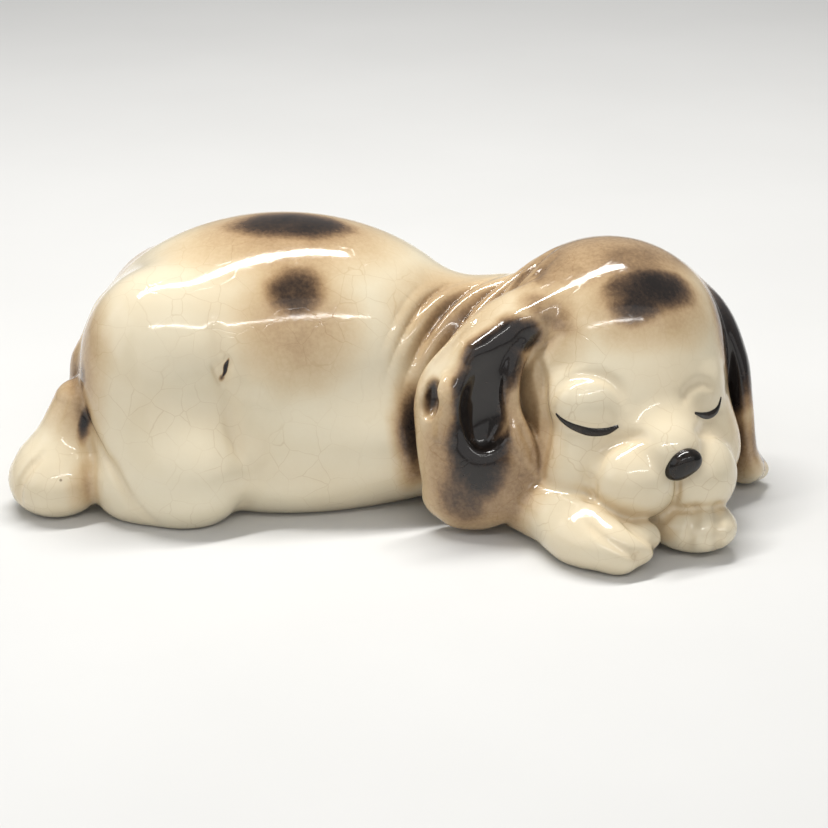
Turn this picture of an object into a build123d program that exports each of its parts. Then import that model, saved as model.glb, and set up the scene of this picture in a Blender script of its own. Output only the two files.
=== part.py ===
from build123d import *
import os
from math import asin, degrees

# A glazed ceramic puppy, asleep on its belly with its chin on its forepaws.
# Slip-cast pieces are luted together: a hollow trunk and a hollow head carry the
# solid limbs, tail, foot and ears. The nose and the two closed-eye lines are enamel.
# Frame: origin on the table under the middle of the figurine, +Z up, body along X
# with the head at +X. The dog's right flank faces -Y, and its face is turned to it.

WALL = 3.0             # thickness of the cast shell of trunk and head
VENT_D = 8.0           # air hole through the unglazed underside
NECK_BORE_D = 10.0     # passage that joins the trunk's cavity to the head's
NECK_BORE_AT = (3.0, 20.0)   # its middle in Y and Z
EYE_LINE_R = 0.55      # half width of the enamel line in a closed eye

TRUNK_Y = 9.5          # the trunk's own middle plane lies behind the origin
HEAD_AT = (34.7, -0.5, 24.0)
HEAD_TURN = 20.0       # the head looks along -Y, turned this far towards +X

# Masses of the trunk: (centre, half length along X, radius across it).
RUMP = ((-18.0, TRUNK_Y + 1.0, 19.5), 34.5, 25.0)
BELLY = ((-9.0, TRUNK_Y - 3.5, 11.0), 33.0, 19.0)
SHOULDERS = ((16.0, TRUNK_Y - 3.0, 18.0), 18.0, 17.0)
TRUNK = (RUMP, BELLY, SHOULDERS)

# Everything else is rolled: (start, its radius, end, its radius), round at both ends.
# Rolls of the head start from the middle of the skull; -Y is forward, +X the dog's left.
SKULL_R = 19.6
FACE = ((-4.0, -9.5, -6.0), 12.6, (4.0, -9.5, -6.0), 12.5)
MUZZLE = ((0.0, -18.0, -8.3), 6.9, (0.0, -22.6, -8.5), 6.7)
FLEW = ((6.2, -18.0, -12.3), 6.3, (6.0, -23.0, -12.5), 6.1)
CHEEK = ((10.5, -9.0, -11.8), 8.1, (10.3, -14.0, -12.0), 7.9)
EYELID_AT, EYELID_R = (9.5, -14.0, -2.0), 5.6
NOSE = ((-0.8, -29.0, -7.4), 2.5, (0.8, -29.0, -7.6), 2.5)
# The lash line of a closed eye: outer end, lowest point, inner end.
LASH = ((14.6, -15.9, -2.0), (10.8, -19.7, -4.7), (6.8, -21.2, -3.2))

THIGH_R = ((-38.0, -4.0, 26.0), 12.6, (-38.0, -5.0, 13.0), 13.4)
SHANK_R = ((-41.5, -10.2, 8.0), 10.0, (-35.0, -11.8, 8.0), 9.6)
THIGH_L = ((-37.0, 21.5, 23.0), 13.0, (-37.0, 22.0, 12.0), 13.4)
SHANK_L = ((-41.0, 27.2, 7.0), 8.6, (-31.0, 28.2, 7.0), 8.2)

HIND_PAW = ((-57.2, -7.0, 5.2), 6.6, (-54.0, -5.5, 5.5), 7.4)
HOCK = ((-55.5, -3.5, 7.0), 5.5, (-48.5, 1.5, 15.0), 4.5)
TAIL = (
    ((-46.0, 9.0, 27.0), 4.4, (-51.0, 4.5, 19.0), 4.0),
    ((-51.0, 4.5, 19.0), 4.0, (-54.5, -0.5, 13.5), 3.2),
)

FORELEG_R = ((19.0, -12.5, 6.5), 6.5, (30.0, -26.5, 4.5), 5.0)
FOREPAW_R = ((29.0, -26.5, 4.2), 5.8, (35.2, -31.0, 3.8), 5.4)
FORELEG_L = ((38.0, -6.5, 6.5), 6.0, (45.0, -18.5, 4.5), 5.0)
FOREPAW_L = ((44.5, -19.5, 3.8), 5.6, (50.0, -24.0, 3.6), 5.2)

# Ears hang as slabs: (height, x, y, half width, half thickness, turn of the width).
EAR_R = (
    (0.8, 13.0, -18.0, 3.6, 1.6, -8.0),
    (4.0, 13.5, -18.5, 7.8, 3.6, -8.0),
    (9.0, 14.3, -18.5, 9.6, 4.4, -8.0),
    (16.0, 13.5, -17.5, 9.8, 4.4, -10.0),
    (23.0, 12.0, -15.5, 8.3, 4.2, -14.0),
    (30.0, 15.5, -12.5, 7.0, 4.2, -10.0),
    (36.0, 22.0, -9.0, 6.5, 4.4, 0.0),
    (40.0, 27.0, -6.5, 2.5, 1.5, 0.0),
)
EAR_L = (
    (0.6, 58.5, 3.5, 4.0, 2.0, -70.0),
    (3.0, 58.5, 3.5, 7.0, 3.4, -70.0),
    (8.0, 56.6, 4.5, 9.0, 3.4, -70.0),
    (16.0, 55.5, 6.0, 9.5, 3.4, -70.0),
    (24.0, 54.5, 6.5, 8.5, 3.4, -70.0),
    (32.0, 51.0, 6.5, 6.5, 3.4, -70.0),
    (38.0, 47.0, 5.5, 2.0, 1.2, -70.0),
)
EAR_L_TIP = ((58.0, 2.5, 4.0), 2.8, (62.2, 1.5, 2.6), 1.5)   # flicks outwards


def mass(centre, half_length, radius, mode=Mode.ADD):
    """A ball of clay drawn out along X, turned from half an ellipse."""
    with BuildSketch(Plane.XY.offset(centre[2])) as outline:
        with Locations(centre[:2]):
            Ellipse(half_length, radius)
        split(bisect_by=Plane.XZ.offset(-centre[1]))
    revolve(outline.sketch, axis=Axis(centre, (1, 0, 0)), mode=mode)


def grown(form, by):
    """The same mass with its half length and its radius made larger by an amount."""
    centre, half_length, radius = form
    return centre, half_length + by, radius + by


def limb(start, start_r, end, end_r):
    """A tapered roll of clay, round at both ends, turned from half its outline."""
    line = Vector(end) - Vector(start)
    lean = degrees(asin((start_r - end_r) / line.length))
    with BuildSketch(Plane(origin=start, x_dir=line, z_dir=line.cross(Vector(0.2, 0.1, 1)))) as outline:
        with BuildLine():
            start_arc = CenterArc((0, 0), start_r, 90 - lean, 90 + lean)
            end_arc = CenterArc((line.length, 0), end_r, 0, 90 - lean)
            Line(start_arc @ 0, end_arc @ 1)
            Line(start_arc @ 1, end_arc @ 0)
        make_face()
    revolve(outline.sketch, axis=Axis(start, line))


def on_head(point, side=1):
    """A point of the head in the figurine's frame, on its left (1) or its right (-1)."""
    x, y, z = point
    return head_frame.from_local_coords(Vector(side * x, y, z))


def head_limb(start, start_r, end, end_r, side=1, by=0.0):
    """A roll of the head, its radii made larger by an amount."""
    limb(on_head(start, side), start_r + by, on_head(end, side), end_r + by)


def ear(stations):
    """A slab lofted through flat ellipses, from its hanging tip up to its root."""
    sections = []
    for height, x, y, half_width, half_thickness, turn in stations:
        with BuildSketch(Plane.XY.offset(height)) as section:
            with Locations(Location((x, y, 0), (0, 0, turn))):
                Ellipse(half_width, half_thickness)
        sections.append(section.sketch.face())
    loft(sections)


def stand_on_table():
    """Cut away whatever lies below the table."""
    split(bisect_by=Plane.XY, keep=Keep.TOP)


head_frame = Plane(Location(HEAD_AT, (0, 0, HEAD_TURN)))

# ---- moulds: the solid outer shapes that the pieces are cut against ----

with BuildPart() as trunk_mould:
    for form in TRUNK:
        mass(*form)
    stand_on_table()

with BuildPart() as trunk_hollow:
    for form in TRUNK:
        mass(*grown(form, -WALL))
    split(bisect_by=Plane.XY.offset(WALL), keep=Keep.TOP)

with BuildPart() as head_mould:
    with Locations(HEAD_AT):
        Sphere(SKULL_R)
    head_limb(*FACE)
    head_limb(*MUZZLE)
    for side in (-1, 1):
        head_limb(*FLEW, side=side)
        head_limb(*CHEEK, side=side)
        with Locations(on_head(EYELID_AT, side)):
            Sphere(EYELID_R)

with BuildPart() as head_hollow:
    with Locations(HEAD_AT):
        Sphere(SKULL_R - WALL)
    head_limb(*FACE, by=-WALL)
    for form in TRUNK:
        mass(*grown(form, WALL), mode=Mode.SUBTRACT)

with BuildPart() as neck_passage:
    with BuildSketch(Plane.YZ.offset(SHOULDERS[0][0])):
        with Locations(NECK_BORE_AT):
            Circle(NECK_BORE_D / 2)
    extrude(amount=HEAD_AT[0] - SHOULDERS[0][0])

# ---- enamel: the nose, and the lines of the closed eyes ----

with BuildPart() as nose_form:
    head_limb(*NOSE)


def eye_line_form(side):
    """The lash line of one closed eye, round in section, on the dog's left or right."""
    outer, lowest, inner = (Vector(side * x, y, z) for x, y, z in LASH)
    with BuildPart() as form:
        with BuildLine() as lash:
            ThreePointArc(outer, lowest, inner)
        with BuildSketch(Plane(origin=lash.line @ 0, z_dir=lash.line % 0)):
            Circle(EYE_LINE_R)
        sweep(path=lash.line)
        for end in (outer, inner):
            with Locations(end):
                Sphere(EYE_LINE_R)
    return head_frame.location * form.part


right_eye_form = eye_line_form(-1)
left_eye_form = eye_line_form(1)

with BuildPart() as right_eye_line:
    add(right_eye_form)
right_eye_line.part.label = "right_eye_line"

with BuildPart() as left_eye_line:
    add(left_eye_form)
left_eye_line.part.label = "left_eye_line"

# ---- trunk and head: hollow castings whose cavities meet in the neck ----

with BuildPart() as torso_casting:
    add(trunk_mould.part)
    add(trunk_hollow.part, mode=Mode.SUBTRACT)
    add(neck_passage.part, mode=Mode.SUBTRACT)
    with Locations((RUMP[0][0], RUMP[0][1], 0)):
        Cylinder(VENT_D / 2, 2 * WALL + 2, mode=Mode.SUBTRACT)
torso_casting.part.label = "torso_casting"

with BuildPart() as head_casting:
    add(head_mould.part)
    for inside in (trunk_mould, head_hollow, neck_passage):
        add(inside.part, mode=Mode.SUBTRACT)
    for enamel in (right_eye_form, left_eye_form):
        add(enamel, mode=Mode.SUBTRACT)
head_casting.part.label = "head_casting"

with BuildPart() as nose:
    add(nose_form.part)
    add(head_mould.part, mode=Mode.SUBTRACT)
nose.part.label = "nose"

# ---- solid limbs, each luted against the pieces that were joined before it ----

with BuildPart() as right_hind_leg:
    limb(*THIGH_R)
    limb(*SHANK_R)
    add(trunk_mould.part, mode=Mode.SUBTRACT)
    stand_on_table()
right_hind_leg.part.label = "right_hind_leg"

with BuildPart() as left_hind_leg:
    limb(*THIGH_L)
    limb(*SHANK_L)
    add(trunk_mould.part, mode=Mode.SUBTRACT)
    stand_on_table()
left_hind_leg.part.label = "left_hind_leg"

with BuildPart() as right_hind_foot:
    limb(*HIND_PAW)
    limb(*HOCK)
    for neighbour in (trunk_mould, right_hind_leg):
        add(neighbour.part, mode=Mode.SUBTRACT)
    stand_on_table()
right_hind_foot.part.label = "right_hind_foot"

with BuildPart() as tail:
    for roll in TAIL:
        limb(*roll)
    for neighbour in (trunk_mould, right_hind_leg, right_hind_foot):
        add(neighbour.part, mode=Mode.SUBTRACT)
tail.part.label = "tail"

with BuildPart() as right_foreleg:
    limb(*FORELEG_R)
    limb(*FOREPAW_R)
    for neighbour in (trunk_mould, head_mould):
        add(neighbour.part, mode=Mode.SUBTRACT)
    stand_on_table()
right_foreleg.part.label = "right_foreleg"

with BuildPart() as left_foreleg:
    limb(*FORELEG_L)
    limb(*FOREPAW_L)
    for neighbour in (trunk_mould, head_mould, right_foreleg):
        add(neighbour.part, mode=Mode.SUBTRACT)
    stand_on_table()
left_foreleg.part.label = "left_foreleg"

# ---- ears, laid over the cheeks last ----

with BuildPart() as right_ear:
    ear(EAR_R)
    for neighbour in (trunk_mould, head_mould, right_foreleg):
        add(neighbour.part, mode=Mode.SUBTRACT)
right_ear.part.label = "right_ear"

with BuildPart() as left_ear:
    ear(EAR_L)
    limb(*EAR_L_TIP)
    for neighbour in (trunk_mould, head_mould, left_foreleg):
        add(neighbour.part, mode=Mode.SUBTRACT)
    stand_on_table()
left_ear.part.label = "left_ear"

os.makedirs("parts", exist_ok=True)
pieces = (
    torso_casting, head_casting, right_ear, left_ear, right_foreleg, left_foreleg,
    right_hind_leg, left_hind_leg, right_hind_foot, tail, nose, right_eye_line, left_eye_line,
)
for piece in pieces:
    export_step(piece.part, "parts/" + piece.part.label + ".step")
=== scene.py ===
from concurrent.futures import ThreadPoolExecutor
from math import cos, radians, sin

import bpy
import numpy as np
import openvdb
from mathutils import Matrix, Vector


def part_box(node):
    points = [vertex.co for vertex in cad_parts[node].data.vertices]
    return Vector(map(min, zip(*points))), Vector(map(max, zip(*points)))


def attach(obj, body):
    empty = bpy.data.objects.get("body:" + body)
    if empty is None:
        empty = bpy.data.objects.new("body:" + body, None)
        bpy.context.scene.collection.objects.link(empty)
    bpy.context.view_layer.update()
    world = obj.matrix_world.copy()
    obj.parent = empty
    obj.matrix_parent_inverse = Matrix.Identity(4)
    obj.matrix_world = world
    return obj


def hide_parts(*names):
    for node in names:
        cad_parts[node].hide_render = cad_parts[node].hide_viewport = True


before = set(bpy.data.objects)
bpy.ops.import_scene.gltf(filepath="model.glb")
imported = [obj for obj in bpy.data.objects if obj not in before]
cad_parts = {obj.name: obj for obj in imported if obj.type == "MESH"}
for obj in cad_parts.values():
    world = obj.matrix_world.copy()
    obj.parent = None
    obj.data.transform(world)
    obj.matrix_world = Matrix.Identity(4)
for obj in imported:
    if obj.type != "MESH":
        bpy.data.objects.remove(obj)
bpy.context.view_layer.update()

# The glazed puppy is modelled like clay: every piece is a rounded mass, given as a signed
# distance in millimetres, blended into its neighbours and then meshed. The pieces meet
# without a visible joint, as in one glazed and fired body.

MM = 0.001                               # a millimetre, in Blender's metres
VOXEL = 0.42      # mesh size of the clay, mm
WALL = 3.0                               # thickness of the hollow castings, mm
TUCK = 0.8                               # how far a piece runs on under its neighbours, mm
SINK = 0.5                               # how steeply it drops below the skin there

# ---------------------------------------------------------------- anchors


def box_mm(node):
    lowest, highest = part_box(node)
    return np.array(lowest) / MM, np.array(highest) / MM


def centre_mm(node):
    lowest, highest = box_mm(node)
    return (lowest + highest) / 2


TRUNK = centre_mm("torso_casting") * (1, 1, 0)      # on the table, under the trunk

EYES_AHEAD = 18.8      # the eye lines lie this far in front of the middle of the skull
EYES_BELOW = 3.3       # and this far below it
right_eye, left_eye = centre_mm("right_eye_line"), centre_mm("left_eye_line")
LEFT = (left_eye - right_eye) * (1, 1, 0)
LEFT = LEFT / np.linalg.norm(LEFT)
AHEAD = np.array([LEFT[1], -LEFT[0], 0.0])
UP = np.array([0.0, 0.0, 1.0])
HEAD = (right_eye + left_eye) / 2 - EYES_AHEAD * AHEAD + EYES_BELOW * UP
HEAD_AXES = np.stack([AHEAD, LEFT, UP], 1)


def on_trunk(x, y, z):
    """A point given from the table under the middle of the trunk."""
    return TRUNK + np.array([x, y, z], float)


def on_head(ahead, left, up):
    """A point given from the middle of the skull, in the head's own directions."""
    return HEAD + HEAD_AXES @ np.array([ahead, left, up], float)


def by_head(x, y, z):
    """A point given from the middle of the skull in the figurine's directions, z off the table."""
    return np.array([HEAD[0] + x, HEAD[1] + y, z], float)


# ---------------------------------------------------------------- distances


def soft_min(a, b, k):
    """The union of two masses with a fillet of about k."""
    h = np.clip(0.5 + 0.5 * (b - a) / k, 0, 1)
    return b + (a - b) * h - k * h * (1 - h)


def soft_max(a, b, k):
    return -soft_min(-a, -b, k)


def ramp(x, low, high):
    t = np.clip((x - low) / (high - low), 0, 1)
    return t * t * (3 - 2 * t)


def turned(degrees_z, degrees_y=0.0, degrees_x=0.0):
    """The axes of a mass turned about Z, then tilted about Y and X, as columns."""
    cz, sz = cos(radians(degrees_z)), sin(radians(degrees_z))
    cy, sy = cos(radians(degrees_y)), sin(radians(degrees_y))
    cx, sx = cos(radians(degrees_x)), sin(radians(degrees_x))
    about_z = np.array([[cz, -sz, 0], [sz, cz, 0], [0, 0, 1]])
    about_y = np.array([[cy, 0, sy], [0, 1, 0], [-sy, 0, cy]])
    about_x = np.array([[1, 0, 0], [0, cx, -sx], [0, sx, cx]])
    return about_z @ about_y @ about_x


def ball(p, centre, radii, axes=None):
    """Distance to an ellipsoid."""
    q = p - np.asarray(centre, np.float32)
    if axes is not None:
        q = q @ axes.astype(np.float32)
    radii = np.asarray(radii, np.float32)
    near = np.sqrt(((q / radii) ** 2).sum(-1))
    far = np.sqrt(((q / (radii * radii)) ** 2).sum(-1))
    return near * (near - 1) / np.maximum(far, 1e-6)


def roll(p, start, start_r, end, end_r):
    """Distance to a tapered roll with round ends."""
    start, end = np.asarray(start, np.float32), np.asarray(end, np.float32)
    line = end - start
    q = p - start
    t = np.clip((q @ line) / (line @ line), 0, 1)
    return np.sqrt(((q - t[..., None] * line) ** 2).sum(-1)) - (start_r + (end_r - start_r) * t)


def chain(p, points, k):
    """Rolls joined end to end through (point, radius) pairs, with fillets of about k."""
    d = None
    for (a, ra), (b, rb) in zip(points[:-1], points[1:]):
        r = roll(p, a, ra, b, rb)
        d = r if d is None else soft_min(d, r, k)
    return d


def through(x, xs, ys):
    """A smooth curve through the points (xs, ys), read at x."""
    slopes = np.gradient(ys, xs)
    i = np.clip(np.searchsorted(xs, x) - 1, 0, len(xs) - 2)
    span = xs[i + 1] - xs[i]
    t = np.clip((x - xs[i]) / span, 0, 1)
    return ((2 * t**3 - 3 * t**2 + 1) * ys[i] + (t**3 - 2 * t**2 + t) * span * slopes[i]
            + (-2 * t**3 + 3 * t**2) * ys[i + 1] + (t**3 - t**2) * span * slopes[i + 1])


THINNEST = 0.5      # least half width and half thickness of an ear, mm
CAUTION = 0.85      # keeps the distance to an ear from overshooting where its stations change


def slab(p, stations):
    """A hanging ear: a flat ellipse at each height, smoothly joined."""
    s = np.array(stations, float)
    height, lowest, highest = p[..., 2], s[0, 0], s[-1, 0]
    at = np.clip(height, lowest, highest)
    x, y, width, thick, turn = (through(at, s[:, 0], s[:, i]) for i in range(1, 6))
    width, thick = np.maximum(width, THINNEST), np.maximum(thick, THINNEST)
    turn = np.radians(turn)
    dx, dy = p[..., 0] - HEAD[0] - x, p[..., 1] - HEAD[1] - y
    across = dx * np.cos(turn) + dy * np.sin(turn)
    through_it = -dx * np.sin(turn) + dy * np.cos(turn)
    near = np.sqrt((across / width) ** 2 + (through_it / thick) ** 2)
    far = np.sqrt((across / width**2) ** 2 + (through_it / thick**2) ** 2)
    d = CAUTION * near * (near - 1) / np.maximum(far, 1e-5)
    middle, half = (lowest + highest) / 2, (highest - lowest) / 2
    return soft_max(d, np.abs(height - middle) - half, 1.0)


# ---------------------------------------------------------------- the pieces


def torso(p):
    d = ball(p, on_trunk(-9.2, 0, 18.5), (34.6, 23.9, 25.9))                       # barrel
    d = soft_min(d, ball(p, on_trunk(0.3, -3.5, 11), (33, 22.5, 14)), 5)           # belly
    d = soft_min(d, ball(p, on_trunk(28.3, -4, 18.5), (19, 17.5, 16.5)), 6)        # shoulders
    return soft_min(d, ball(p, on_trunk(-11, -14, 6.5), (19, 11.5, 7)), 5)         # flank


def right_hind_leg(p):
    """The haunch, the heel behind it and the shank on the table."""
    d = ball(p, on_trunk(-28.8, -13.9, 19), (13.5, 12.5, 20), turned(-8, -6))
    d = soft_min(d, ball(p, on_trunk(-34.8, -20.4, 5.3), (4.9, 4.8, 4.8), turned(-20)), 1.6)
    return soft_min(d, ball(p, on_trunk(-25.6, -21.0, 7.5), (11.6, 9.8, 9.5), turned(-30)), 8)


def left_hind_leg(p):
    d = ball(p, on_trunk(-27.8, 11, 18), (14, 13, 18), turned(8, -6))
    return soft_min(d, ball(p, on_trunk(-26.8, 17.2, 8), (15, 7.8, 8), turned(12)), 6)


def right_hind_foot(p):
    d = ball(p, on_trunk(-46.4, -18.4, 5.1), (7.9, 8.3, 6.0), turned(25))
    ankle = roll(p, on_trunk(-45.6, -16.6, 7.8), 5.9, on_trunk(-42.6, -14.6, 17.0), 4.2)
    return soft_min(d, ankle, 4)


def tail(p):
    rump, bend = on_trunk(-37.0, -3, 28), on_trunk(-40.3, -7.5, 21.5)
    tip = on_trunk(-42.5, -11, 15.5)
    return chain(p, ((rump, 4.0), (bend, 3.8), (tip, 3.0)), 2)


SNOUT = 0.7      # the snout sits a little to the dog's left, mm


def head(p):
    q = (p - HEAD.astype(np.float32)) @ HEAD_AXES.astype(np.float32)
    d = ball(q, (0, 0.6, 0.3), (19, 20.0, 19.5))                                   # skull
    d = soft_min(d, ball(q, (9, 0, -6), (14, 16.5, 13)), 5)                        # face
    d = soft_min(d, ball(q, (20.5, SNOUT, -7.4), (8.7, 6.8, 5.8)), 3)              # snout
    for side in (-1, 1):                                                           # cheeks
        d = soft_min(d, ball(q, (12, 10.5 * side, -12), (10, 8, 8)), 4)
    d = soft_min(d, ball(q, (14.1, -9.8, -1.0), (6.3, 6.4, 5.4)), 1.6)             # right lid
    d = soft_min(d, ball(q, (13.2, 9.0, -1.2), (6.0, 5.6, 5.0)), 1.6)              # left lid
    flews = [ball(q, (21.7, SNOUT + left, up), (8.1, 7.6, tall))
             for left, up, tall in ((-5.1, -12.2, 6.9), (5.1, -13.0, 7.5))]
    d = soft_min(d, soft_min(*flews, 0.7), 1.3)
    return soft_min(d, ball(q, (22.0, SNOUT, -17.8), (5.2, 5.0, 3.4)), 0.6)        # chin


# Stations of the ears, from the table up: (z, x, y, half width, half thickness, turn), with
# x and y from the middle of the skull and the turn about Z in degrees.
RIGHT_EAR = (
    (1.0, -22.2, -18.0, 3.0, 1.5, -8),
    (4.0, -21.2, -18.0, 7.8, 3.5, -8),
    (9.0, -20.4, -18.0, 9.6, 4.2, -8),
    (16.0, -21.2, -17.0, 9.8, 4.2, -10),
    (23.0, -22.7, -15.0, 8.3, 4.0, -14),
    (30.0, -19.2, -12.0, 7.0, 4.0, -10),
    (36.0, -12.7, -8.5, 6.5, 4.2, 0),
    (40.0, -7.7, -6.0, 2.5, 1.5, 0),
)
LEFT_EAR = (
    (0.6, 23.8, 4.0, 4.0, 2.0, -70),
    (3.0, 23.8, 4.0, 7.0, 3.2, -70),
    (8.0, 21.9, 5.0, 9.0, 3.3, -70),
    (16.0, 20.8, 6.5, 9.5, 3.3, -70),
    (24.0, 19.8, 7.0, 8.5, 3.3, -70),
    (32.0, 16.3, 7.0, 6.5, 3.3, -70),
    (38.0, 12.3, 6.0, 2.0, 1.2, -70),
)


def right_ear(p):
    d = slab(p, RIGHT_EAR)
    # The thick fold in which the ear rolls down from the crown.
    fold = chain(p, (
        (by_head(-4.5, -8.0, 37.5), 2.2), (by_head(-13.8, -12.0, 34.2), 2.6),
        (by_head(-21.0, -14.5, 29.6), 2.7), (by_head(-24.8, -17.0, 24.0), 2.3),
        (by_head(-26.0, -18.8, 18.0), 1.4)), 1.5)
    d = soft_min(d, fold, 1.6)
    # The hollow under the fold, and the small looped hollow at the back.
    d = soft_max(d, -ball(p, by_head(-18.8, -19.8, 24.3), (4.0, 3.0, 9.0), turned(-20, 12)), 2.4)
    return soft_max(d, -ball(p, by_head(-28.7, -17.0, 23.2), (1.7, 2.3, 3.4), turned(-40)), 0.8)


def left_ear(p):
    d = slab(p, LEFT_EAR)
    flick = roll(p, by_head(23.3, 3.0, 4.0), 2.8, by_head(27.3, 2.0, 2.6), 1.4)
    return soft_min(d, flick, 2)


def right_foreleg(p):
    d = roll(p, by_head(-15.7, -12, 6.5), 6.5, by_head(-4.7, -26, 4.5), 5.0)
    d = soft_min(d, ball(p, by_head(-2.8, -28.3, 3.9), (8.8, 6.3, 4.6), turned(-40)), 3)
    for x, y, z, r in ((0.4, -32.4, 3.0, 3.2), (3.0, -31.2, 3.8, 3.0), (4.6, -28.9, 4.6, 2.6)):
        d = soft_min(d, ball(p, by_head(x, y, z), (r * 1.25, r, r), turned(-35)), 1.0)
    return d


def left_foreleg(p):
    d = roll(p, by_head(4.3, -6, 6.5), 6.0, by_head(10.3, -18, 4.5), 5.0)
    return soft_min(d, ball(p, by_head(12.8, -22.4, 4.0), (8.2, 6.4, 4.3), turned(-40)), 3)


def haunch_fillet(z):
    """A crease under the flank, and a soft haunch above it."""
    return 2.0 + 2.8 * ramp(z, 3, 9) + 2.4 * ramp(z, 21, 31)


# Clay pieces in the order in which they were joined, each with the fillet of its joint: a
# number, or a function of the height.
CLAY = {
    "torso_casting": (torso, None),
    "right_hind_leg": (right_hind_leg, haunch_fillet),
    "left_hind_leg": (left_hind_leg, 3.0),
    "right_hind_foot": (right_hind_foot, 1.6),
    "tail": (tail, 1.6),
    "head_casting": (head, 3.0),
    "right_foreleg": (right_foreleg, 1.2),
    "left_foreleg": (left_foreleg, 0.8),
    "right_ear": (right_ear, 1.0),
    "left_ear": (left_ear, 1.0),
}
NAMES = list(CLAY)
FOOT_EDGE = 0.5      # rounding of the edge on which the figurine stands, mm


def clay(p, tooled=True):
    """The whole glazed surface, and every piece's own distance."""
    p = p.astype(np.float32)
    each = np.stack([form(p) for form, _ in CLAY.values()]).astype(np.float32)
    d = dict(zip(NAMES, each))
    whole = d["torso_casting"]
    for name in NAMES[1:]:
        fillet = CLAY[name][1]
        whole = soft_min(whole, d[name], fillet(p[..., 2]) if callable(fillet) else fillet)
    whole = neck_folds(p, whole, d["right_ear"])
    if tooled:
        for path, width, depth in LINES:
            whole = brush(p, whole, path, width, depth)
    return soft_max(whole, -p[..., 2], FOOT_EDGE), each


def skin(p):
    return clay(p)[0]


def untooled_skin(p):
    return clay(p, tooled=False)[0]


FOLD_HEIGHT = 0.9      # of the folds of the neck, from crease to crest, mm


def neck_folds(p, whole, off_ear):
    """Loose skin of the neck, in folds that run down from the nape to the back of the near
    ear: rounded folds with narrow creases between them, off_ear mm from the ear."""
    x = p[..., 0] - HEAD[0]
    # They die away at the ear and well off it, towards the table, the back and the crown.
    window = ramp(off_ear, 0.4, 1.6) * (1 - ramp(off_ear, 7.0, 12.0)) * ramp(p[..., 2], 20, 27)
    window = window * ramp(x, -38, -25) * (1 - ramp(x, -14, -6))
    ridge = np.abs(np.sin(0.9 * off_ear - 0.48 * x + 0.4))
    return whole - FOLD_HEIGHT * window * (ridge - 0.6)


FADE = (-0.12, 0.22)      # a tool line comes up to its depth over this part of its length


def brush(p, whole, path, width, depth):
    """Presses a line into the clay along a path, or raises one where the depth is negative.
    The line dies away towards both ends."""
    reach = 3 * width
    inside = ((p > path.min(0) - reach) & (p < path.max(0) + reach)).all(-1)
    if not inside.any():
        return whole
    near = p[inside]
    best, along = np.full(len(near), 1e9, np.float32), np.zeros(len(near), np.float32)
    for i, (a, b) in enumerate(zip(path[:-1], path[1:])):
        line = b - a
        t = np.clip(((near - a) @ line) / (line @ line), 0, 1)
        off = ((near - a - t[:, None] * line) ** 2).sum(-1)
        closer = off < best
        best = np.where(closer, off, best)
        along = np.where(closer, (i + t) / (len(path) - 1), along)
    fade = ramp(np.minimum(along, 1 - along), *FADE)
    whole = whole.copy()
    whole[inside] += depth * fade * np.exp(-best / width**2)
    return whole


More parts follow.
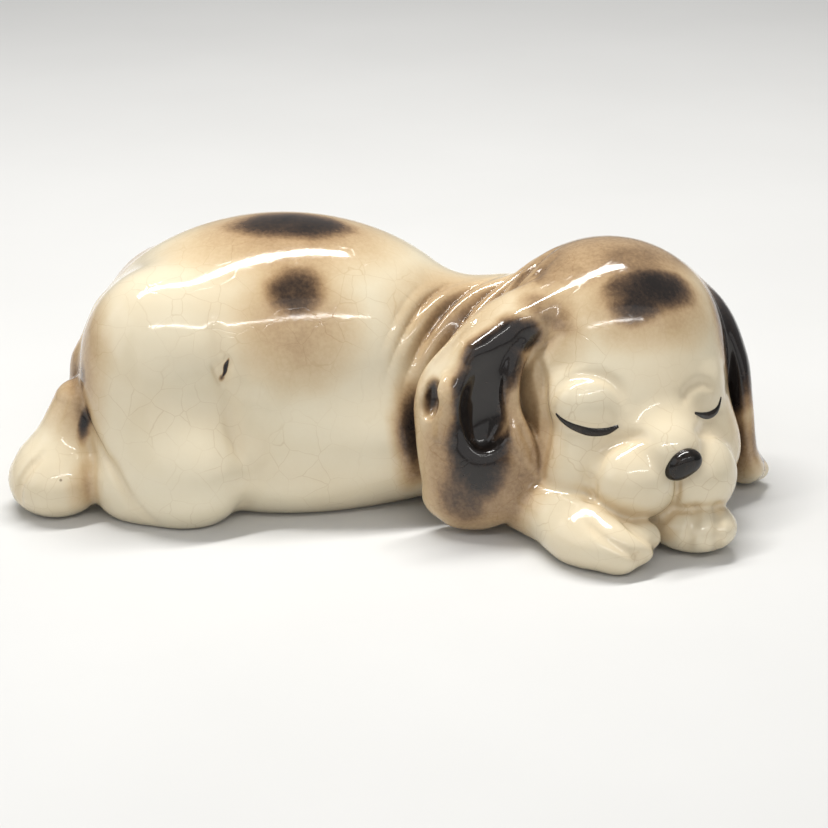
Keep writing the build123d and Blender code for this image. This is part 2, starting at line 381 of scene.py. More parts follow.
# Tool lines in the clay: (how the points are given, points, width, depth), in mm. A negative
# depth raises a ridge.
TOOL_LINES = (
    # near ear: two raised pleats beside the cheek, the step to the cheek, and the thin back rim
    (by_head, ((-13.9, -15.3, 31.6), (-15.6, -16.4, 28.6), (-16.4, -17.6, 23.9),
               (-15.6, -20, 19.8), (-14, -20.9, 15.9), (-12.4, -21.3, 12.6)), 0.8, -1.6),
    (by_head, ((-13.2, -16.1, 29.3), (-14.2, -18.3, 25.1), (-13.4, -19.4, 20.4),
               (-12.1, -20.6, 15.7), (-11.6, -21.3, 11.7)), 0.7, -1.25),
    (by_head, ((-12.0, -17.0, 29.0), (-11.8, -17.6, 26.5), (-11, -19.1, 22),
               (-10.6, -20.5, 17.4), (-10.3, -21.0, 12.0)), 0.9, 1.1),
    (by_head, ((-20.0, -10.0, 34.5), (-24.2, -12, 31.6), (-29.1, -12.9, 26.4),
               (-30.2, -15.2, 22)), 0.8, -0.6),
    (by_head, ((-26.5, -16.5, 27.2), (-25.6, -18.5, 23.0), (-27.0, -19.4, 19.4)), 0.7, -0.45),
    # creases above the eyelids
    (on_head, ((15.5, -15.4, -0.5), (15.7, -14.3, 2.2), (16.4, -11.7, 3.7), (17.9, -8.6, 4.0),
               (19.5, -6.2, 2.7), (20.9, -5.2, 0.2)), 1.0, 0.5),
    (on_head, ((21.8, 4.0, -0.8), (20.6, 5.9, 0.9), (19.7, 8.8, 1.2),
               (19.0, 11.5, -0.4)), 0.9, 0.45),
    # the edge of the whisker pads, and the crease to the cheek
    (on_head, ((24.3, -12.2, -11.5), (23.3, -11.0, -8.5), (22.6, -8.8, -6.2),
               (24.0, -5.0, -4.4), (26.2, -3.0, -4.6)), 1.1, 0.45),
    (on_head, ((26.2, 4.0, -4.6), (24.4, 6.8, -5.2), (22.8, 9.6, -7.2),
               (23.4, 12.0, -10.0)), 1.1, 0.4),
    (on_head, ((23.0, -13.4, -10.0), (23.9, -12.8, -12.6), (22.8, -12.0, -16.0)), 0.9, 0.55),
    # lip: the cleft under the nose, and the mouth under both flews
    (on_head, ((28.8, 0.7, -9.6), (28.4, 0.7, -12.4), (27.0, 0.7, -16.4)), 0.5, 0.45),
    (on_head, ((27.2, 0.7, -16.4), (27.0, -1.8, -18.4), (25.5, -5.5, -19.3),
               (22.0, -9.0, -19.0)), 0.7, 0.6),
    (on_head, ((27.2, 0.7, -16.4), (27.8, 2.6, -18.2), (28.0, 4.6, -19.4)), 0.6, 0.45),
    # toes of the forepaws
    (by_head, ((-4.0, -31.6, 8.0), (-1.4, -34.4, 6.6), (1.8, -35.2, 4.8),
               (4.6, -33.8, 2.6)), 0.7, 0.55),
    (by_head, ((1.4, -29.6, 8.4), (3.4, -32.2, 7.0), (5.6, -32.8, 5.0),
               (7.4, -31.0, 3.0)), 0.7, 0.6),
    (by_head, ((13.0, -24.5, 8.4), (13.3, -27.1, 7.2), (12.6, -28.4, 5.0),
               (12.3, -27.4, 1.6)), 0.8, 0.75),
    (by_head, ((16.8, -23.6, 8.0), (16.9, -26.6, 7.0), (16.5, -28.2, 4.9),
               (16.6, -27.4, 1.8)), 0.8, 0.75),
    # flank: the crease before the haunch and the nick at its top
    (on_trunk, ((-19.6, -19.6, 33.0), (-18.9, -21.4, 28.8), (-18.3, -21.6, 24.9),
                (-17.3, -23.1, 20.0), (-16.8, -24, 13.0), (-16.4, -23.4, 3.0)), 1.4, 0.4),
    (on_trunk, ((-17.3, -21.8, 27.3), (-18.0, -21.6, 25.5), (-18.5, -21.6, 23.9)), 0.55, 1.6),
    (on_trunk, ((-19.8, -21.3, 26.2), (-19.1, -21.5, 24.9), (-18.5, -21.6, 23.9)), 0.5, 1.3),
    # hind foot: two toes, and the heel tucked against the haunch
    (on_trunk, ((-52.0, -15.5, 9.5), (-53.2, -18.5, 6.8), (-53.0, -20.5, 4.0)), 0.8, 0.7),
    (on_trunk, ((-47.5, -21.5, 9.6), (-50.0, -23.0, 7.0), (-51.0, -23.0, 3.6)), 0.8, 0.7),
    (on_trunk, ((-39.7, -17.0, 18.5), (-38.3, -18.7, 15.5), (-35.4, -22.0, 11.7),
                (-34.2, -24.0, 9.7), (-32.0, -26.6, 5.8), (-29.4, -27.7, 2.6)), 1.1, 0.5),
)


def smoothed(rows, steps):
    """Rows of numbers, such as points, with smooth steps put in between them."""
    rows = np.array(rows)
    order = np.arange(len(rows))
    at = np.linspace(0, len(rows) - 1, steps * (len(rows) - 1) + 1)
    return np.stack([through(at, order, column) for column in rows.T], -1)


def surface_of(name):
    """The closed surface of one piece: glazed skin outside, tucked under its neighbours."""
    index = NAMES.index(name)

    def distance(p):
        whole, each = clay(p)
        others = np.delete(each, index, 0).min(0)
        beyond = (each[index] - others) / 2          # > 0 where a neighbour is nearer
        d = np.maximum(whole + SINK * np.maximum(beyond, 0), beyond - TUCK)
        if name in HOLLOWS:
            d = np.maximum(d, -HOLLOWS[name](p.astype(np.float32)))
        return d
    return distance


PASSAGE_RADIUS = 5.0      # between the cavities of trunk and head, mm
VENT_RADIUS = 4.0         # of the hole through the base of the trunk, mm
VENT = on_trunk(-8.75, 0, 0)


def passage(p):
    return roll(p, by_head(-18, 3.5, 20), PASSAGE_RADIUS, by_head(4, 3.5, 20), PASSAGE_RADIUS)


def trunk_hollow(p):
    """The cavity of the trunk, its passage to the head, and the vent through the base."""
    cavity = soft_max(torso(p) + WALL, WALL - p[..., 2], 1.0)
    vent = np.sqrt(((p[..., :2] - VENT[:2].astype(np.float32)) ** 2).sum(-1)) - VENT_RADIUS
    vent = np.maximum(vent, p[..., 2] - 2 * WALL)
    return np.minimum(np.minimum(cavity, passage(p)), vent)


def head_hollow(p):
    """The cavity of the head, closed towards the trunk but for the passage."""
    return np.minimum(np.maximum(head(p) + WALL, WALL - torso(p)), passage(p))


HOLLOWS = {"torso_casting": trunk_hollow, "head_casting": head_hollow}

# ---------------------------------------------------------------- meshing

TETRAHEDRON = np.array([(1, 1, 1), (1, -1, -1), (-1, 1, -1), (-1, -1, 1)], float)
CHUNK = 20000      # points that a thread reads at a time
THREADS = 4
FLATTEST = 0.05    # least slope that a point is moved by, squared


def read(distance, p):
    """The distance at many points, worked out in parallel."""
    parts = np.array_split(p, max(1, len(p) // CHUNK))
    with ThreadPoolExecutor(THREADS) as pool:
        return np.concatenate(list(pool.map(distance, parts)))


def slope(distance, p, step=0.1):
    """The direction away from the surface, and the distance, from four readings around."""
    around = [read(distance, p + corner * step) for corner in TETRAHEDRON]
    direction = sum(d[:, None] * corner for d, corner in zip(around, TETRAHEDRON)) / (4 * step)
    return direction, sum(around) / 4


def away_from_skin(points):
    """The direction straight out of the skin, of length one, and the distance to it."""
    direction, off = slope(skin, points)
    return direction / np.maximum(np.linalg.norm(direction, axis=1, keepdims=True), 1e-6), off


def settle(distance, p, rounds=2):
    """Moves the points onto the surface, by no more than a voxel a round."""
    for _ in range(rounds):
        direction, off = slope(distance, p)
        length = np.maximum((direction * direction).sum(-1), FLATTEST)
        p = p - direction * np.clip(off / length, -VOXEL, VOXEL)[:, None]
    return p


def mesh_of(distance, low, high, voxel=VOXEL, block=4):
    """Quads of the surface inside a box, each vertex settled on it. The distance is read once
    for each block of voxels, and at every voxel only where that shows the surface is near."""
    low, high = np.asarray(low) - 2 * voxel, np.asarray(high) + 2 * voxel
    blocks = np.ceil((high - low) / (voxel * block)).astype(int) + 1
    places = np.stack(np.meshgrid(*(np.arange(n) for n in blocks), indexing="ij"), -1)
    middles = low + (places.reshape(-1, 3) * block + (block - 1) / 2) * voxel
    coarse = read(distance, middles).reshape(blocks)
    band = 3 * voxel
    values = np.clip(coarse, -band, band)
    close = np.abs(coarse) < band + block * voxel * 1.5
    for axis in range(3):
        values = np.repeat(values, block, axis)
        close = np.repeat(close, block, axis)
    values[close] = np.clip(read(distance, low + np.argwhere(close) * voxel), -band, band)
    grid = openvdb.FloatGrid(band)
    grid.copyFromArray(values.astype(np.float32))
    points, quads = largest_part(*grid.convertToQuads(isovalue=0.0))
    return settle(distance, points.astype(float) * voxel + low), quads


def largest_part(points, quads):
    """Leaves out loose flakes: keeps the biggest set of faces that hang together."""
    label, last = np.arange(len(points)), None
    while last is None or (label != last).any():
        last = label.copy()
        np.minimum.at(label, quads, last[quads].min(1)[:, None])
        label = label[label]
    label = label[quads[:, 0]]
    quads = quads[label == np.bincount(label).argmax()]
    used, renumbered = np.unique(quads, return_inverse=True)
    return points[used], renumbered.reshape(quads.shape)


# The tool lines, each a smooth line laid on the clay as it is before tooling.
LINES = tuple(
    (settle(untooled_skin, smoothed([given(*point) for point in path], steps=5),
            rounds=6).astype(np.float32), width, depth)
    for given, path, width, depth in TOOL_LINES)


def new_object(name, points, faces):
    """A smooth-shaded mesh from points in millimetres."""
    mesh = bpy.data.meshes.new(name)
    mesh.from_pydata((points * MM).tolist(), [], faces)
    mesh.validate()
    mesh.polygons.foreach_set("use_smooth", np.ones(len(mesh.polygons), bool))
    obj = bpy.data.objects.new(name, mesh)
    bpy.context.collection.objects.link(obj)
    return obj


ON_SKIN = 0.25      # a vertex this near the skin is taken to be on it, mm
FACING = 0.5        # if its own normal also turns no more than 60 degrees from the skin's


def take_skin_normals(mesh, outward, off):
    """Shades the piece with the normals of the whole skin, so that no joint shows."""
    own = np.empty(3 * len(mesh.vertices))
    mesh.vertices.foreach_get("normal", own)
    own = own.reshape(-1, 3)
    outside = (np.abs(off) < ON_SKIN) & ((own * outward).sum(1) > FACING)
    normals = np.where(outside[:, None], outward, own)
    mesh.normals_split_custom_set_from_vertices(normals.tolist())


# ---------------------------------------------------------------- glaze

CREAM = (0.785, 0.745, 0.60)
# Sprayed underglaze and painted shade, from a thin mist to full cover.
SPRAY_AND_SHADE = (
    (0.00, CREAM), (0.20, (0.70, 0.585, 0.39)), (0.44, (0.49, 0.335, 0.18)),
    (0.64, (0.18, 0.11, 0.06)), (0.81, (0.045, 0.030, 0.022)), (1.00, (0.010, 0.009, 0.009)),
)


class Material:
    """A material whose nodes are added by short calls. A value is a number, a colour or vector,
    or another node's output. Scales are per metre."""

    def __init__(self, name):
        self.material = bpy.data.materials.new(name)
        self.material.use_nodes = True
        self.nodes = self.material.node_tree.nodes
        self.links = self.material.node_tree.links
        self.shader = self.nodes["Principled BSDF"]
        self.where = self.nodes.new("ShaderNodeTexCoord").outputs["Object"]

    def feed(self, node, values):
        for socket, value in values.items():
            if isinstance(value, bpy.types.NodeSocket):
                self.links.new(value, node.inputs[socket])
            else:
                node.inputs[socket].default_value = value

    def maths(self, kind, *values, clamp=False):
        node = self.nodes.new("ShaderNodeMath")
        node.operation, node.use_clamp = kind, clamp
        self.feed(node, dict(enumerate(values)))
        return node.outputs[0]

    def vector(self, kind, *values):
        node = self.nodes.new("ShaderNodeVectorMath")
        node.operation = kind
        self.feed(node, dict(enumerate(values)))
        return node.outputs["Value" if kind == "LENGTH" else "Vector"]

    def noise(self, scale, detail=2.0, rough=0.5, colour=False):
        node = self.nodes.new("ShaderNodeTexNoise")
        self.feed(node, {"Vector": self.where, "Scale": scale, "Detail": detail,
                         "Roughness": rough})
        return node.outputs["Color" if colour else "Fac"]

    def cells(self, feature, scale, where):
        node = self.nodes.new("ShaderNodeTexVoronoi")
        node.feature = feature
        self.feed(node, {"Vector": where, "Scale": scale})
        return node.outputs["Distance"]

    def rescale(self, value, from_low, from_high, to_low, to_high, smooth=True):
        node = self.nodes.new("ShaderNodeMapRange")
        node.interpolation_type = "SMOOTHSTEP" if smooth else "LINEAR"
        self.feed(node, {"Value": value, "From Min": from_low, "From Max": from_high,
                         "To Min": to_low, "To Max": to_high})
        return node.outputs["Result"]

    def mix(self, kind, amount, under, over):
        node = self.nodes.new("ShaderNodeMixRGB")
        node.blend_type = kind
        self.feed(node, {0: amount, 1: under, 2: (*over, 1)})
        return node.outputs[0]

    def colours(self, value, stops, interpolation="LINEAR"):
        """Colour read from (position, colour) stops, of which there are two or more."""
        node = self.nodes.new("ShaderNodeValToRGB")
        node.color_ramp.interpolation = interpolation
        first, last = node.color_ramp.elements
        first.position, first.color = stops[0][0], (*stops[0][1], 1)
        last.position, last.color = stops[-1][0], (*stops[-1][1], 1)
        for position, colour in stops[1:-1]:
            node.color_ramp.elements.new(position).color = (*colour, 1)
        self.feed(node, {0: value})
        return node.outputs[0]

    def bump(self, strength, distance, height):
        node = self.nodes.new("ShaderNodeBump")
        self.feed(node, {"Strength": strength, "Distance": distance, "Height": height})
        return node.outputs[0]

    def spot(self, where, centre, radii, peak, edge, turn):
        """Sprayed colour and painted shade alike: peak in the middle of an ellipsoid, fading
        around its rim.
        """
        node = self.nodes.new("ShaderNodeMapping")
        node.vector_type = "TEXTURE"
        self.feed(node, {"Vector": where, "Location": Vector(centre) * MM,
                         "Rotation": [radians(t) for t in turn], "Scale": Vector(radii) * MM})
        return self.rescale(self.vector("LENGTH", node.outputs[0]), 1 + edge, 1 - edge, 0.0, peak)


HEAD_TURN = np.degrees(np.arctan2(AHEAD[1], AHEAD[0]))
FACE = (0, 0, HEAD_TURN)      # turn of a spot whose radii are (ahead, left, up)
# Sprayed spots, and a few spots of painted shade in creases and hollows: (centre, radii, peak,
# edge, turn), in mm and degrees. The edge is the part of the radii over which the colour fades.
SPOTS = (
    # back: a long dark patch along the spine, and a round one under it
    (on_trunk(-6.5, -2.5, 45), (13.5, 6.5, 4.5), 0.92, 0.6, (0, 0, 0)),
    (on_trunk(-7.5, -4.0, 44), (20.0, 12.0, 8.0), 0.50, 0.8, (0, 0, 0)),
    (on_trunk(-6.3, -12.0, 41), (9.0, 8.5, 7.0), 0.42, 0.8, (0, 0, 0)),
    (on_trunk(-6.2, -16.6, 37.3), (5.4, 6.0, 5.2), 0.84, 0.8, (0, 0, 0)),
    (on_trunk(-5.5, -19.5, 33.5), (9.5, 8.5, 11.0), 0.46, 0.75, (0, 0, 0)),
    # haunch and rump
    (on_trunk(-42.0, -18.0, 26.0), (6.0, 10.0, 13.0), 0.46, 0.8, (0, 0, 0)),
    (on_trunk(-43.0, -12.0, 18.0), (5.5, 9.0, 8.0), 0.50, 0.7, (0, 0, 0)),
    # painted shade in the notch between the heel and the hind foot
    (on_trunk(-41.0, -24.0, 6.0), (2.5, 5.0, 5.0), 0.30, 0.8, (0, 0, 0)),
    (on_trunk(-36.0, 12.0, 30.0), (10.0, 13.0, 11.0), 0.42, 0.8, (0, 0, 0)),
    # shoulder, and the skin behind the near ear: brown, with painted shade in the crease there
    (on_trunk(21.5, -13.0, 31.0), (12.0, 12.0, 11.5), 0.46, 0.8, (0, 0, 0)),
    (on_trunk(12.6, -22.8, 17.0), (3.2, 4.5, 11.0), 0.62, 0.8, (0, 0, 0)),
    (on_trunk(24.0, 14.0, 26.0), (10.0, 9.0, 11.0), 0.40, 0.8, (0, 0, 0)),
    # crown, its black patch, and the sides of the head
    (on_head(1.0, 1.0, 19.0), (13.0, 21.0, 9.0), 0.52, 0.5, FACE),
    (on_head(6.5, 1.5, 18.5), (7.0, 10.0, 5.0), 0.62, 0.8, FACE),
    (on_head(11.6, 3.6, 15.1), (4.5, 9.4, 4.4), 0.95, 0.7, FACE),
    (on_head(13.2, 0.2, 13.4), (3.4, 5.6, 3.4), 0.92, 0.75, FACE),
    (on_head(12.0, 2.5, 14.0), (8.0, 13.0, 8.0), 0.48, 0.7, FACE),
    (on_head(-2.0, -12.0, 15.0), (10.0, 7.0, 8.0), 0.50, 0.7, FACE),
    (on_head(9.0, -13.0, 12.5), (7.5, 6.0, 9.0), 0.42, 0.8, FACE),
    (on_head(12.0, -18.0, 2.0), (5.0, 4.0, 10.0), 0.30, 0.8, FACE),
    (on_head(8.0, 18.0, 7.0), (10.0, 5.0, 13.0), 0.42, 0.8, FACE),
    (on_head(17.0, 16.5, -7.0), (5.0, 3.0, 9.0), 0.26, 0.9, FACE),
    # near ear: black under the fold and down the middle, tan towards the rim
    (by_head(-9.5, -12.5, 36.0), (9.0, 4.5, 3.0), 0.54, 0.7, (0, 30, 0)),
    (by_head(-14.8, -15.0, 32.8), (4.4, 4.5, 3.5), 0.98, 0.6, (0, 0, 0)),
    (by_head(-18.4, -17.0, 29.3), (5.2, 5.0, 6.6), 1.00, 0.5, (0, 0, 0)),
    (by_head(-20.6, -18.5, 22.5), (5.0, 6.0, 8.5), 1.05, 0.5, (0, 0, 0)),
    (by_head(-21.0, -21.5, 15.5), (6.0, 6.0, 9.0), 0.92, 0.6, (0, 0, 0)),
    (by_head(-23.0, -21.5, 8.0), (5.2, 5.5, 8.0), 0.68, 0.8, (0, 0, 0)),
    (by_head(-20.0, -20.5, 15.0), (11.0, 8.0, 19.0), 0.48, 0.45, (0, 0, 0)),
    # painted shade in the small looped hollow at the back of the ear
    (by_head(-28.1, -16.0, 23.0), (1.6, 3.0, 3.2), 0.72, 0.7, (0, 0, 0)),
    # far ear and its flicked tip
    (by_head(20.0, 3.0, 25.0), (8.0, 10.0, 13.0), 0.92, 0.5, (0, 0, 0)),
    (by_head(22.5, 4.0, 9.0), (7.0, 10.0, 8.0), 0.58, 0.5, (0, 0, 0)),
    (by_head(25.0, 2.0, 6.0), (4.0, 4.0, 1.8), 0.80, 0.5, (0, 0, 0)),
    # tail, and painted shade in two creases on the haunch beside it
    (on_trunk(-41.0, -8.0, 20.0), (5.0, 7.0, 7.0), 0.54, 0.5, (0, 0, 0)),
    (on_trunk(-41.0, -19.8, 16.0), (1.3, 3.0, 3.4), 0.74, 0.8, (0, 12, 0)),
    (on_trunk(-41.2, -18.7, 23.8), (1.1, 2.6, 3.6), 0.72, 0.8, (0, 0, 0)),
    # painted shade, near black, inside the nick before the haunch
    (on_trunk(-18.1, -21.6, 25.6), (0.4, 1.4, 1.8), 1.30, 0.5, (0, 20, 0)),
    (on_trunk(-18.5, -21.6, 24.7), (0.8, 1.4, 0.9), 1.30, 0.5, (0, 20, 0)),
)


DRIFT = 0.0035                    # how far the spray drifts from its spots, m
CRAZING = 235.0                   # cells of the crazing in a metre
BEND = 0.0016                     # how far its lines are bent, m
HAIRLINE = 0.022                  # their width, as a part of a cell
GLAZE_EDGE = (0.00055, 0.00025)   # the glaze thins out between these heights, m
WAVER = 0.00025                   # and they waver by this, m
GLOSS = (0.07, 0.13)              # least and most roughness of the glaze
CHALK = 0.62                      # how much rougher it is where it is wiped off


def spray_and_shade(m):
    """How dark the colour lies: sprayed underglaze, and painted shade in creases and hollows; 0 on
    bare cream, 1 where it is black.
    """
    # The spray drifts, so the rims of its spots wander.
    drift = m.vector("SUBTRACT", m.noise(95.0, 3.0, 0.55, colour=True), (0.5, 0.5, 0.5))
    where = m.vector("MULTIPLY_ADD", drift, (DRIFT, DRIFT, DRIFT), m.where)
    darkness = None
    for centre, radii, peak, edge, turn in SPOTS:
        spot = m.spot(where, centre, radii, peak, edge, turn)
        darkness = spot if darkness is None else m.maths("SMOOTH_MAX", darkness, spot, 0.12)

    # Fine droplets and slow clouds make it uneven.
    droplets = m.rescale(m.noise(1700.0, 2.0, 0.6), 0.3, 0.7, 0.94, 1.06, smooth=False)
    clouds = m.rescale(m.noise(210.0, 3.0, 0.6), 0.3, 0.7, -0.07, 0.07, smooth=False)
    darkness = m.maths("MULTIPLY", darkness, m.maths("ADD", droplets, clouds))

    # The hollows of the clay are darkened: painted shade, together with the glaze that pools
    # there.
    hollow = m.nodes.new("ShaderNodeAttribute")
    hollow.attribute_name = "hollow"
    shade_and_pooling = m.maths("MULTIPLY", hollow.outputs["Fac"], 0.34)
    more = m.maths("MULTIPLY", shade_and_pooling, m.maths("ADD", darkness, 0.30))
    return m.maths("ADD", darkness, more, clamp=True)


def crazing(m):
    """A net of hairlines in the glaze, stronger in some places than in others."""
    bend = m.noise(260.0, 2.0, 0.5, colour=True)
    bent = m.vector("MULTIPLY_ADD", bend, (BEND, BEND, BEND), m.where)
    line = m.rescale(m.cells("DISTANCE_TO_EDGE", CRAZING, bent), 0.0, HAIRLINE, 1.0, 0.0)
    return m.maths("MULTIPLY", line, m.rescale(m.noise(60.0), 0.42, 0.6, 0.25, 1.0))


def kiln_specks(m):
    dots = m.rescale(m.cells("F1", 150.0, m.where), 0.035, 0.055, 1.0, 0.0)
    return m.maths("MULTIPLY", dots, m.rescale(m.noise(75.0, 1.0), 0.58, 0.62, 0.0, 0.7))


def bare_foot(m):
    """Where the figurine stands it is wiped clean of glaze, up to a wavering edge."""
    apart = m.nodes.new("ShaderNodeSeparateXYZ")
    m.feed(apart, {0: m.where})
    waver = m.rescale(m.noise(220.0), 0.3, 0.7, -WAVER, WAVER, smooth=False)
    height = m.maths("ADD", apart.outputs["Z"], waver)
    return m.rescale(height, *GLAZE_EDGE, 0.0, 1.0)


TINT = (0.95, 0.91, 0.865)      # of the slow warm clouds in the body
STAIN = (0.72, 0.62, 0.50)      # of the crazing
SPECK = (0.16, 0.10, 0.06)
BISQUE = (0.70, 0.62, 0.50)     # matt and chalky


def glaze(name):
    """Clear glaze, finely crazed, over a cream body with airbrushed brown and black, and painted
    shade in its creases and hollows.
    """
    m = Material(name)
    line, bare = crazing(m), bare_foot(m)
    clouds = m.rescale(m.noise(38.0, 3.0, 0.55), 0.35, 0.7, 0.0, 1.0)
    colour = m.mix("MULTIPLY", clouds, m.colours(spray_and_shade(m), SPRAY_AND_SHADE, "B_SPLINE"), TINT)
    colour = m.mix("MULTIPLY", m.maths("MULTIPLY", line, 0.38), colour, STAIN)
    colour = m.mix("MIX", kiln_specks(m), colour, SPECK)
    colour = m.mix("MIX", bare, colour, BISQUE)
    gloss = m.rescale(m.noise(900.0), 0.3, 0.7, *GLOSS, smooth=False)
    ripple = m.maths("SUBTRACT", m.noise(320.0), m.maths("MULTIPLY", line, 0.35))
    m.feed(m.shader, {
        "Base Color": colour,
        "Roughness": m.maths("ADD", gloss, m.maths("MULTIPLY", bare, CHALK)),
        "IOR": 1.5,
        "Coat Weight": 0.15,
        "Coat Roughness": 0.03,
        "Normal": m.bump(0.10, 0.0004, ripple),
    })
    return m.material


def enamel():
    """Black overglaze enamel, brushed on, so it is a little uneven and brown where thin."""
    m = Material("black_enamel")
    uneven = m.noise(900.0, 3.0, 0.6)
    m.feed(m.shader, {
        "Base Color": m.colours(uneven, ((0.35, (0.006, 0.0055, 0.005)),
                                         (0.80, (0.030, 0.020, 0.014)))),
        "Roughness": m.rescale(uneven, 0.3, 0.8, 0.07, 0.22, smooth=False),
        "Specular IOR Level": 0.35,
        "Coat Weight": 0.15,
        "Coat Roughness": 0.04,
        "Normal": m.bump(0.15, 0.0002, uneven),
    })
    return m.material


# ---------------------------------------------------------------- making the pieces

# Both glazes are painted by the same spots. They differ in name, as the record's slots do.
cream, brown, black = glaze("cream_glaze"), glaze("brown_glaze"), enamel()
BROWN = ("right_ear", "left_ear", "tail")
MARGIN = 3.0     # how far outside its CAD box a piece is looked for, mm
LOOK = 2.2       # how far above the skin a hollow is felt, mm
HOLLOW_SHADE = 1.4    # how strongly it is then darkened, as painted shade and pooled glaze

for name in NAMES:
    low, high = box_mm(name)
    points, quads = mesh_of(surface_of(name), low - MARGIN, high + MARGIN)
    piece = new_object(name.replace("_casting", "") + "_glazed", points, quads.tolist())
    outward, off = away_from_skin(points)
    take_skin_normals(piece.data, outward, off)
    # How closed in the skin is above each point: the glaze darkens it there as painted shade and
    # pooled glaze.
    felt = 1 - read(skin, points + outward * LOOK) / LOOK
    hollow = piece.data.attributes.new("hollow", "FLOAT", "POINT")
    hollow.data.foreach_set("value", np.clip(felt * HOLLOW_SHADE, 0, 1).astype(np.float32))
    piece.data.materials.append(brown if name in BROWN else cream)
    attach(piece, "root")
    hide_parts(name)


NOSE = on_head(28.9, 0.9, -8.1)


def nose_distance(p):
    """An almond button, broad above and drawn down to the dog's right."""
    q = ((p - NOSE) @ HEAD_AXES) @ turned(0, 14, 14)
    d = ball(q, (0, 0.5, 0.3), (2.2, 2.8, 2.15))
    d = soft_min(d, ball(q, (-0.2, -0.8, -0.7), (2.0, 2.3, 1.7)), 0.8)
    return soft_max(d, q[..., 0] - 1.9, 0.8)


NOSE_REACH = 5.0      # how far round its middle the nose is looked for, mm
NOSE_VOXEL = 0.2      # mesh size of the nose, mm
points, quads = mesh_of(nose_distance, NOSE - NOSE_REACH, NOSE + NOSE_REACH, NOSE_VOXEL)
nose = new_object("nose_enamel", points, quads.tolist())
nose.data.materials.append(black)
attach(nose, "root")
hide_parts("nose")

# A closed eye: one brush stroke along the lid, thick in the middle, drawn out at the ends.
# Each has its thickness, as a part of the right one's, and the points of its line.
STROKES = {
    "right_eye_line": (1.0, (
        (16.6, -15.2, -1.7), (17.4, -14.3, -2.6), (18.6, -12.9, -3.6), (19.9, -11.0, -4.3),
        (20.9, -8.7, -4.2), (21.6, -6.9, -3.3))),
    "left_eye_line": (0.82, (
        (18.7, 13.0, -2.2), (19.3, 12.2, -3.4), (19.9, 11.0, -4.0), (20.6, 9.4, -4.1),
        (21.3, 7.6, -3.6), (22.0, 5.9, -2.8))),
}
STROKE = (0.14, 0.44, 0.68, 0.74, 0.60, 0.26)      # half width at each of the points, mm
STROKE_HEIGHT = 0.22                               # most that it stands above the lid, mm
SIDES = 12                                         # of the stroke's cross-section
turns = np.arange(SIDES) * 2 * np.pi / SIDES

for node, (thickness, path) in STROKES.items():
    rows = smoothed(np.column_stack([[on_head(*point) for point in path], STROKE]), steps=12)
    line, width = settle(skin, rows[:, :3], rounds=6), rows[:, 3] * thickness
    outward, _ = away_from_skin(line)
    across = np.cross(np.gradient(line, axis=0), outward)
    across /= np.linalg.norm(across, axis=1, keepdims=True)
    sideways = np.cos(turns) * width[:, None]
    upwards = np.sin(turns) * np.minimum(width, STROKE_HEIGHT)[:, None]
    rings = (line[:, None] + across[:, None] * sideways[..., None]
             + outward[:, None] * upwards[..., None])
    points = np.concatenate([rings.reshape(-1, 3), line[:1], line[-1:]])
    start, end = len(points) - 2, len(points) - 1      # the points that close its two ends
    last = (len(line) - 1) * SIDES                     # the first point of the last ring
    faces = []
    for ring in range(0, last, SIDES):
        for j in range(SIDES):
            a, b = ring + j, ring + (j + 1) % SIDES
            faces.append((a, a + SIDES, b + SIDES, b))
    for j in range(SIDES):
        faces.append((start, j, (j + 1) % SIDES))
        faces.append((end, last + (j + 1) % SIDES, last + j))
    stroke = new_object(node + "_stroke", points, faces)
    stroke.data.materials.append(black)
    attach(stroke, "root")
    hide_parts(node)

# ---------------------------------------------------------------- floor, light and camera

FLOOR, SQUARES = 2400.0, 24      # width of the floor in mm, and the squares along it
BELOW = 0.02                     # keeps the floor clear of the figurine's foot, mm
ticks = (np.arange(SQUARES + 1) / SQUARES - 0.5) * FLOOR
floor_points = np.array([(x, y, -BELOW) for y in ticks for x in ticks])
first = [j * (SQUARES + 1) + i for j in range(SQUARES) for i in range(SQUARES)]
floor = new_object("floor", floor_points,
                   [(a, a + 1, a + SQUARES + 2, a + SQUARES + 1) for a in first])
paint = Material("pale_floor")
paint.feed(paint.shader, {
    "Base Color": paint.colours(paint.noise(14.0, 4.0), ((0.0, (0.60, 0.60, 0.59)),
                                                         (1.0, (0.66, 0.66, 0.65)))),
    "Roughness": 0.75,
})
floor.data.materials.append(paint.material)

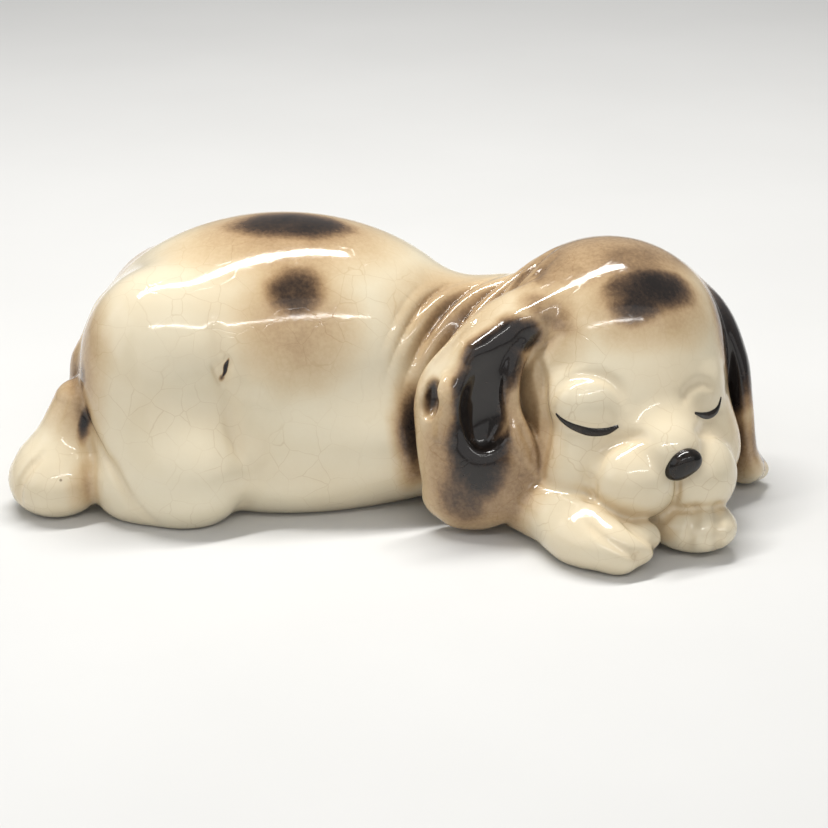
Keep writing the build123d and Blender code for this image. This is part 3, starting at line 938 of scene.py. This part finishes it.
# Lights: (name, place, aim, width, height, watts, colour), in metres. The key and the strip are
# long and narrow, for the glaze's highlights, and the other two are soft.
WARM, WHITE, COOL = (1.0, 0.985, 0.96), (1, 1, 1), (0.95, 0.97, 1.0)
LIGHTS = (
    ("key", (-0.05, 0.10, 0.50), (0, 0, 0.02), 0.45, 0.045, 3.2, WARM),
    ("front", (0.25, -1.00, 0.70), (0, 0, 0.02), 2.40, 1.40, 5.0, WHITE),
    ("strip", (0.12, -0.42, 0.52), (0.01, 0, 0.02), 0.60, 0.018, 0.75, WARM),
    ("side", (-0.80, -0.20, 0.45), (0, 0, 0.02), 0.80, 0.60, 1.2, COOL),
)


def turned_to(aim, at):
    """The rotation that points a light or camera from a place to an aim."""
    return (Vector(aim) - Vector(at)).to_track_quat("-Z", "Y").to_euler()


for name, at, aim, width, height, watts, colour in LIGHTS:
    light = bpy.data.lights.new(name, "AREA")
    light.shape = "RECTANGLE"
    light.size, light.size_y = width, height
    light.energy = watts
    light.color = colour
    lamp = bpy.data.objects.new(name, light)
    bpy.context.collection.objects.link(lamp)
    lamp.location = at
    lamp.rotation_euler = turned_to(aim, at)

world = bpy.data.worlds.new("studio")
bpy.context.scene.world = world
world.use_nodes = True
background = world.node_tree.nodes["Background"].inputs
background["Color"].default_value = (0.80, 0.81, 0.83, 1)
background["Strength"].default_value = 0.30
bpy.context.scene.view_settings.view_transform = "Standard"

# The camera stands where the photographer stood.
ELEVATION, DISTANCE = radians(22.0), 0.430      # above the table, and from the aim in metres
LENS, SENSOR = 109.37, 36.0                     # mm
AIM = Vector((0.0034, 0.0095, 0.0096))          # the middle of the picture, in metres
camera_data = bpy.data.cameras.new("camera")
camera_data.lens = LENS
camera_data.sensor_width = SENSOR
camera = bpy.data.objects.new("camera", camera_data)
bpy.context.collection.objects.link(camera)
camera.location = AIM + DISTANCE * Vector((0, -cos(ELEVATION), sin(ELEVATION)))
camera.rotation_euler = turned_to(AIM, camera.location)
bpy.context.scene.camera = camera
